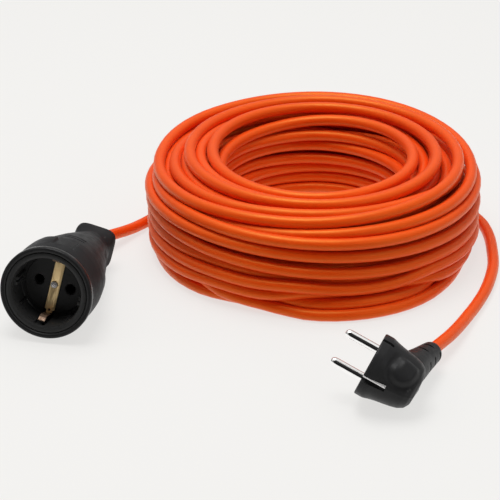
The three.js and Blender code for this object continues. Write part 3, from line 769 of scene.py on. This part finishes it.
def plug_face():
    """Hard plastic carrier of the pins, set into the rubber."""
    disc = revolved("plug_face", [
        (0, 0), (11.2, 0), (11.5, -0.35), (12.0, -0.35), (12.3, 0), (POCKET_R - 0.5, 0),
        (POCKET_R - 0.2, -0.3), (POCKET_R - 0.2, -8), (0, -8),
    ], along="Z")
    pin_hole = [(0, 2), (2.55, 2), (2.55, -9), (0, -9)]
    earth_hole = [(0, 2), (4.2, 2), (4.2, 0.4), (3.5, -0.6), (3.5, -9), (0, -9)]
    holes = [revolved("hole", pin_hole, 48, "Z", (x, 0, 0)) for x in (-PIN_X, PIN_X)]
    holes.append(revolved("earth_hole", earth_hole, 48, "Z", (0, 9.4, 0)))
    combine(disc, holes, "DIFFERENCE")
    return ease_and_place(disc, PLUG, "black_plastic", "plug_pin_carrier")


def plug_pin(name, x):
    """Plated pin with a domed tip and a fine turned line behind it."""
    pin = revolved(name, [
        (0, 19), (0.7, 18.93), (1.3, 18.7), (1.8, 18.2), (2.2, 17.4), (2.38, 16.6), (2.38, 16.3),
        (2.4, 16.1), (2.4, -8.4), (3.0, -8.4), (3.0, -9.6), (1.9, -9.6), (1.9, -14.4), (0, -14.4),
    ], 64, "Z", (x, 0, 0))
    return place(pin, PLUG, "nickel", "plug_" + name)


def plug_rail(name, edge, length):
    """Earth contact: a thin plated rail along one edge of its slot."""
    x = RAIL_SLOT[0] + RAIL_WIDTH / 2
    centre = (x, edge * (PLUG_R - 1.2), 0.1 - length / 2)
    rail = block(name, (RAIL_WIDTH, 2.2, length - 0.4), centre)
    node = "plug_earth_strip_" + name.removeprefix("rail_")
    return ease_and_place(rail, PLUG, "zinc", node)


plug_parts = [
    plug_moulding(), plug_face(), plug_pin("pin_live", -PIN_X), plug_pin("pin_neutral", PIN_X),
]
plug_parts += [plug_rail(name, edge, length) for name, (edge, length) in RAILS.items()]

# ---------------------------------------------------------------- socket

RIM_R = 26.7
RECESS_R = 19.9
CUP_R = 22.3  # of the insert where the shell holds it
SHELL_FRONT = 4.35
SHELL_BACK = 97.0

# The rear shell, by distance from the mouth: radius on the two raised side pads, radius on
# the barrel between and behind them, and half the width of the square flange.
PAD_RADIUS = [(4.3, 25.4), (4.8, 25.9), (5.4, 26.1), (20, 26.1), (26, 25.8), (31, 25.1),
              (39, 23.8)]
BARREL_RADIUS = [(4.3, 25.8), (13, 25.4), (22, 24.7), (31, 23.7), (43, 21.8), (56, 19.1),
                 (70, 15.7), (78, 13.5), (84, 12.3), (88, 12.0)]
FLANGE_HALF = [(78, 12.0), (84, 11.7), (88, 11.9), (91, 12.3), (93.5, 12.6), (95.2, 12.6),
               (96.3, 12.1), (97.0, 10.9)]
FLANGE_POWER = 4.5  # how square the flange is
FLANGE_BLEND = (82, 92)  # where the round neck turns into it

PAD_EDGE = 75.5  # half the arc of a pad, in degrees
# Where a pad ends, by the angle from its middle.
PAD_END = [(0, 39), (14, 38), (38, 34.3), (57, 30.1), (65, 27.1), (PAD_EDGE, 25.6)]
PAD_ARC_R = 25  # turns angles on the pads into lengths
PAD_RING = 13.1  # up to here the pads join all round
PAD_STEP = 0.3  # half the length over which a pad rises
PAD_GROOVE = 0.55  # depth of the line round a pad
TOP_SLOTS = (37.0, 41.5)  # short slots on top and below, where the pads end
NECK_RIBS = (60.0, 64.5, 69.0)  # ribs in the sides of the neck
STRAP_FACES = (16.6, 17.3)  # front and back of the earth strap


def socket_insert():
    """Hard front insert: rim, lip, recess with ribs, clip slots and pin holes."""
    cup = revolved("socket_insert", [
        (0, 17.5), (17.1, 17.5), (17.4, 17.9), (19.4, 18.0), (19.8, 17.6), (RECESS_R, 3.0),
        (20.1, 1.9), (20.5, 1.15), (21.2, 0.85), (22.9, 0.75), (23.25, 0.95), (23.35, 1.9),
        (23.75, 1.9), (23.85, 0.75), (24.2, 0.3), (24.9, 0.05), (25.7, 0.05), (26.3, 0.3),
        (26.62, 0.8), (RIM_R, 1.4), (RIM_R, 3.6), (26.5, 3.9), (CUP_R, 3.9), (CUP_R, 20.5),
        (0, 20.5),
    ], 160)
    added, cuts = [], []
    for side in (-1, 1):
        added.append(block("rib", (2.6, 13.6, 5.2), (side * 19.3, 11.2, 0), bevel=0.5))
        added.append(block("ledge", (1.6, 10.6, 1.6), (side * 14.4, 12.7, -13.4), bevel=0.4))
        cuts.append(block("rib_groove", (2.4, 13.0, 1.5), (side * 17.9, 8.6, 0), bevel=0.3))
        cuts.append(block("clip_slot", (6.4, 19.5, 5.1), (0, 12.4, side * 18.75), bevel=0.35))
    chamber = [(0, 20), (5.6, 20), (5.6, 33), (0, 33)]
    pin_hole = [(0, 16), (3.5, 16), (3.5, 17.4), (2.9, 18.1), (2.9, 20.6), (3.8, 20.7),
                (3.8, 34), (0, 34)]
    for x in (-PIN_X, PIN_X):
        added.append(revolved("chamber", chamber, 40, shift=(x, 0, 0)))
        cuts.append(revolved("pin_hole", pin_hole, 48, shift=(x, 0, 0)))
    cuts.append(revolved("screw_hole", [(0, 16), (1.7, 16), (1.7, 21.5), (0, 21.5)], 24))
    combine(cup, added, "UNION")
    combine(cup, cuts, "DIFFERENCE")
    return ease_and_place(cup, SOCKET, "black_plastic", "socket_front_insert")


def read_off(table, y):
    """Values of a table of (distance, value) rows at the distances y."""
    return np.interp(y, *zip(*table))


def squared(angle, power):
    """Radius of a square with rounded corners whose sides are 1 from the middle."""
    return (np.abs(np.cos(angle)) ** power + np.abs(np.sin(angle)) ** power) ** (-1 / power)


def pad_height(y, angle):
    """1 on the two raised side pads of the barrel, 0 on the channels and behind them."""
    def before(distance):
        return ramp(-distance, -PAD_STEP, PAD_STEP)

    from_top = np.abs(np.abs(np.angle(np.exp(1j * angle))) - pi / 2)  # or from the bottom
    side = pi / 2 - from_top  # from the middle of the nearer pad
    end_angle, end_y = zip(*PAD_END)
    back = np.interp(side, np.radians(end_angle), end_y)
    inside = before(y - back) * before((side - radians(PAD_EDGE)) * PAD_ARC_R)
    return np.maximum(inside, before(y - PAD_RING))


def shell_radius(y, angle):
    pad = pad_height(y, angle)
    radius = pad * read_off(PAD_RADIUS, y) + (1 - pad) * read_off(BARREL_RADIUS, y)
    radius -= PAD_GROOVE * (4 * pad * (1 - pad))
    for at in TOP_SLOTS:
        slot = np.exp(-((y - at) / 0.6) ** 4) * (np.abs(np.cos(angle)) < 0.30)
        radius -= 0.7 * slot
    for at in NECK_RIBS:
        rib = np.exp(-((y - at) / 0.8) ** 4) * ramp(-np.abs(np.sin(angle)), -0.62, -0.45)
        radius -= 0.8 * rib
    flange = read_off(FLANGE_HALF, y) * squared(angle, FLANGE_POWER)
    square = ramp(y, *FLANGE_BLEND)
    return (1 - square) * radius + square * flange


def socket_shell():
    """Rubber rear shell: barrel with two raised pads, neck and flared square flange."""
    segments = 240
    angle = np.linspace(0, 2 * pi, segments, endpoint=False)
    stations = np.concatenate([
        [SHELL_FRONT, 4.6, 4.9, 5.3], np.arange(5.8, 45.8, 0.4), np.arange(46, 88, 0.8),
        np.arange(88, 96, 0.5), [96.0, 96.4, 96.7, 96.9, SHELL_BACK],
    ])
    rings = [(shell_radius(np.full(segments, y), angle), y) for y in stations]
    hollow = [(9.0, SHELL_BACK), (6.4, SHELL_BACK), (6.1, 96.6), (6.7, 87), (8.6, 80), (13.3, 70),
              (16.8, 56), (19.7, 43), (21.9, 31), (22.6, 23), (22.6, SHELL_FRONT)]
    rings += [(np.full(segments, r), y) for r, y in hollow]
    vertices = np.concatenate([
        np.stack([r * np.cos(angle), np.full(segments, y), r * np.sin(angle)], 1) for r, y in rings
    ])
    faces = ring_faces(len(rings), segments, closed=True)
    shell = mesh_object("socket_shell", vertices, faces)
    place(shell, SOCKET, "black_rubber", "socket_rear_shell")
    paint(shell, "matt_rubber")


def socket_strap():
    """Brass strap of the earth contact, with a narrow tongue at each end."""
    outline = [
        (-1.2, 16.4), (1.5, 16.4), (2.2, 15.6), (2.2, 14.6), (3.5, 13.4), (3.5, -15.2),
        (2.6, -15.9), (2.6, -16.7), (1.0, -17.9), (-0.6, -17.9), (-1.2, -17.2), (-1.2, -15.9),
        (-2.3, -15.2), (-2.3, 13.4), (-1.2, 14.6),
    ]
    count = len(outline)
    vertices = [(x, y, z) for y in STRAP_FACES for x, z in outline]
    faces = [tuple(range(count)), tuple(range(count, 2 * count))]
    faces += [(i, (i + 1) % count, count + (i + 1) % count, count + i) for i in range(count)]
    strap = mesh_object("socket_strap", vertices, faces)
    hole = [(0, 15), (1.75, 15), (1.75, 19), (0, 19)]
    rivet_hole = [(0, 15), (0.75, 15), (0.75, 19), (0, 19)]
    cuts = [
        revolved("hole", hole, 32, shift=(0.4, 0, 0)),
        revolved("rivet_hole", rivet_hole, 24, shift=(0.5, 0, -15.6)),
    ]
    combine(strap, cuts, "DIFFERENCE")
    return ease_and_place(strap, SOCKET, "brass", "socket_earth_strap")


def socket_screw():
    """Slotted raised head of the screw that holds the strap."""
    head = revolved("socket_screw", [
        (0, 15.3), (0.8, 15.36), (1.5, 15.6), (1.95, 16.0), (2.0, 16.5), (1.4, 16.5), (1.4, 26),
        (0, 26),
    ], 48)
    turn = Matrix.Rotation(radians(35), 3, "Y")
    combine(head, [block("slot", (6, 1.3, 0.5), (0, 15.3, 0), turn=turn)], "DIFFERENCE")
    return ease_and_place(head, SOCKET, "zinc", "socket_centre_screw")


socket_insert()
socket_shell()
socket_strap()
socket_screw()

# ---------------------------------------------------------------- stage and light

FLOOR_SIZE = 12
FLOOR_GLOW = 0.68
LAMPS = [  # name, place, aim, size, power
    ("key", (-0.15, 0.0, 1.5), (0.0, 0.02, 0.0), (0.9, 0.7), 14.0),
    ("side", (1.3, -0.9, 0.8), (0.05, 0.0, 0.03), (0.5, 0.8), 2.5),
]
ROOM_SIDE = (0.19, -0.88, 0.43)  # direction of the dark room that the pins reflect

# The world's strength: from and to where it changes, and from what to what.
OVERHEAD = (0.0, 0.95, 0.22, 0.90)  # by how far up a direction points
BELOW = (-0.02, 0.0, 0.75, 0.0)
ROOM = (0.60, 0.68, 1.0, 0.03)  # by how far a direction points to the room's side


def add_floor():
    """Pale floor that mostly glows by itself, so that shadows on it stay faint."""
    bpy.ops.mesh.primitive_plane_add(size=FLOOR_SIZE)
    floor = bpy.context.object
    floor.name = "floor"
    floor.visible_glossy = False
    look = Look("floor", (0.20, 0.198, 0.194), 0.9)
    look.tint(look.noise(0.4, 2.0), (0.196, 0.194, 0.19))
    look.shader.inputs["Specular IOR Level"].default_value = 0.0
    look.shader.inputs["Emission Color"].default_value = (1.0, 0.991, 0.972, 1.0)
    look.shader.inputs["Emission Strength"].default_value = FLOOR_GLOW
    floor.data.materials.append(look.material)


def add_area(name, place, aim, size, power):
    light = bpy.data.lights.new(name, "AREA")
    light.shape = "RECTANGLE"
    light.size, light.size_y = size
    light.energy = power
    obj = bpy.data.objects.new(name, light)
    obj.location = place
    toward = Vector(aim) - Vector(place)
    obj.rotation_euler = toward.to_track_quat("-Z", "Y").to_euler()
    bpy.context.collection.objects.link(obj)


def add_world():
    """Studio surroundings: white overhead and below, greyer at the sides, dark to the room."""
    world = bpy.data.worlds.new("world")
    world.use_nodes = True
    tree = world.node_tree
    background = tree.nodes["Background"]
    background.inputs["Color"].default_value = (1.0, 0.995, 0.985, 1.0)
    where = tree.nodes.new("ShaderNodeTexCoord").outputs["Generated"]
    split = tree.nodes.new("ShaderNodeSeparateXYZ")
    toward = tree.nodes.new("ShaderNodeVectorMath")
    toward.operation = "DOT_PRODUCT"
    toward.inputs[1].default_value = ROOM_SIDE
    tree.links.new(where, split.inputs[0])
    tree.links.new(where, toward.inputs[0])

    def stepped(source, start, end, low, high):
        node = tree.nodes.new("ShaderNodeMapRange")
        node.interpolation_type = "SMOOTHSTEP"
        limits = {"From Min": start, "From Max": end, "To Min": low, "To Max": high}
        for name, value in limits.items():
            node.inputs[name].default_value = value
        tree.links.new(source, node.inputs["Value"])
        return node.outputs["Result"]

    def combined(operation, first, second):
        node = tree.nodes.new("ShaderNodeMath")
        node.operation = operation
        tree.links.new(first, node.inputs[0])
        tree.links.new(second, node.inputs[1])
        return node.outputs[0]

    overhead = stepped(split.outputs["Z"], *OVERHEAD)
    below = stepped(split.outputs["Z"], *BELOW)
    room = stepped(toward.outputs["Value"], *ROOM)
    strength = combined("MULTIPLY", combined("ADD", overhead, below), room)
    tree.links.new(strength, background.inputs["Strength"])
    bpy.context.scene.world = world


add_floor()
for lamp in LAMPS:
    add_area(*lamp)
add_world()
bpy.context.scene.view_settings.view_transform = "Standard"

for obj in bpy.data.objects:
    obj.update_tag()
bpy.context.view_layer.update()
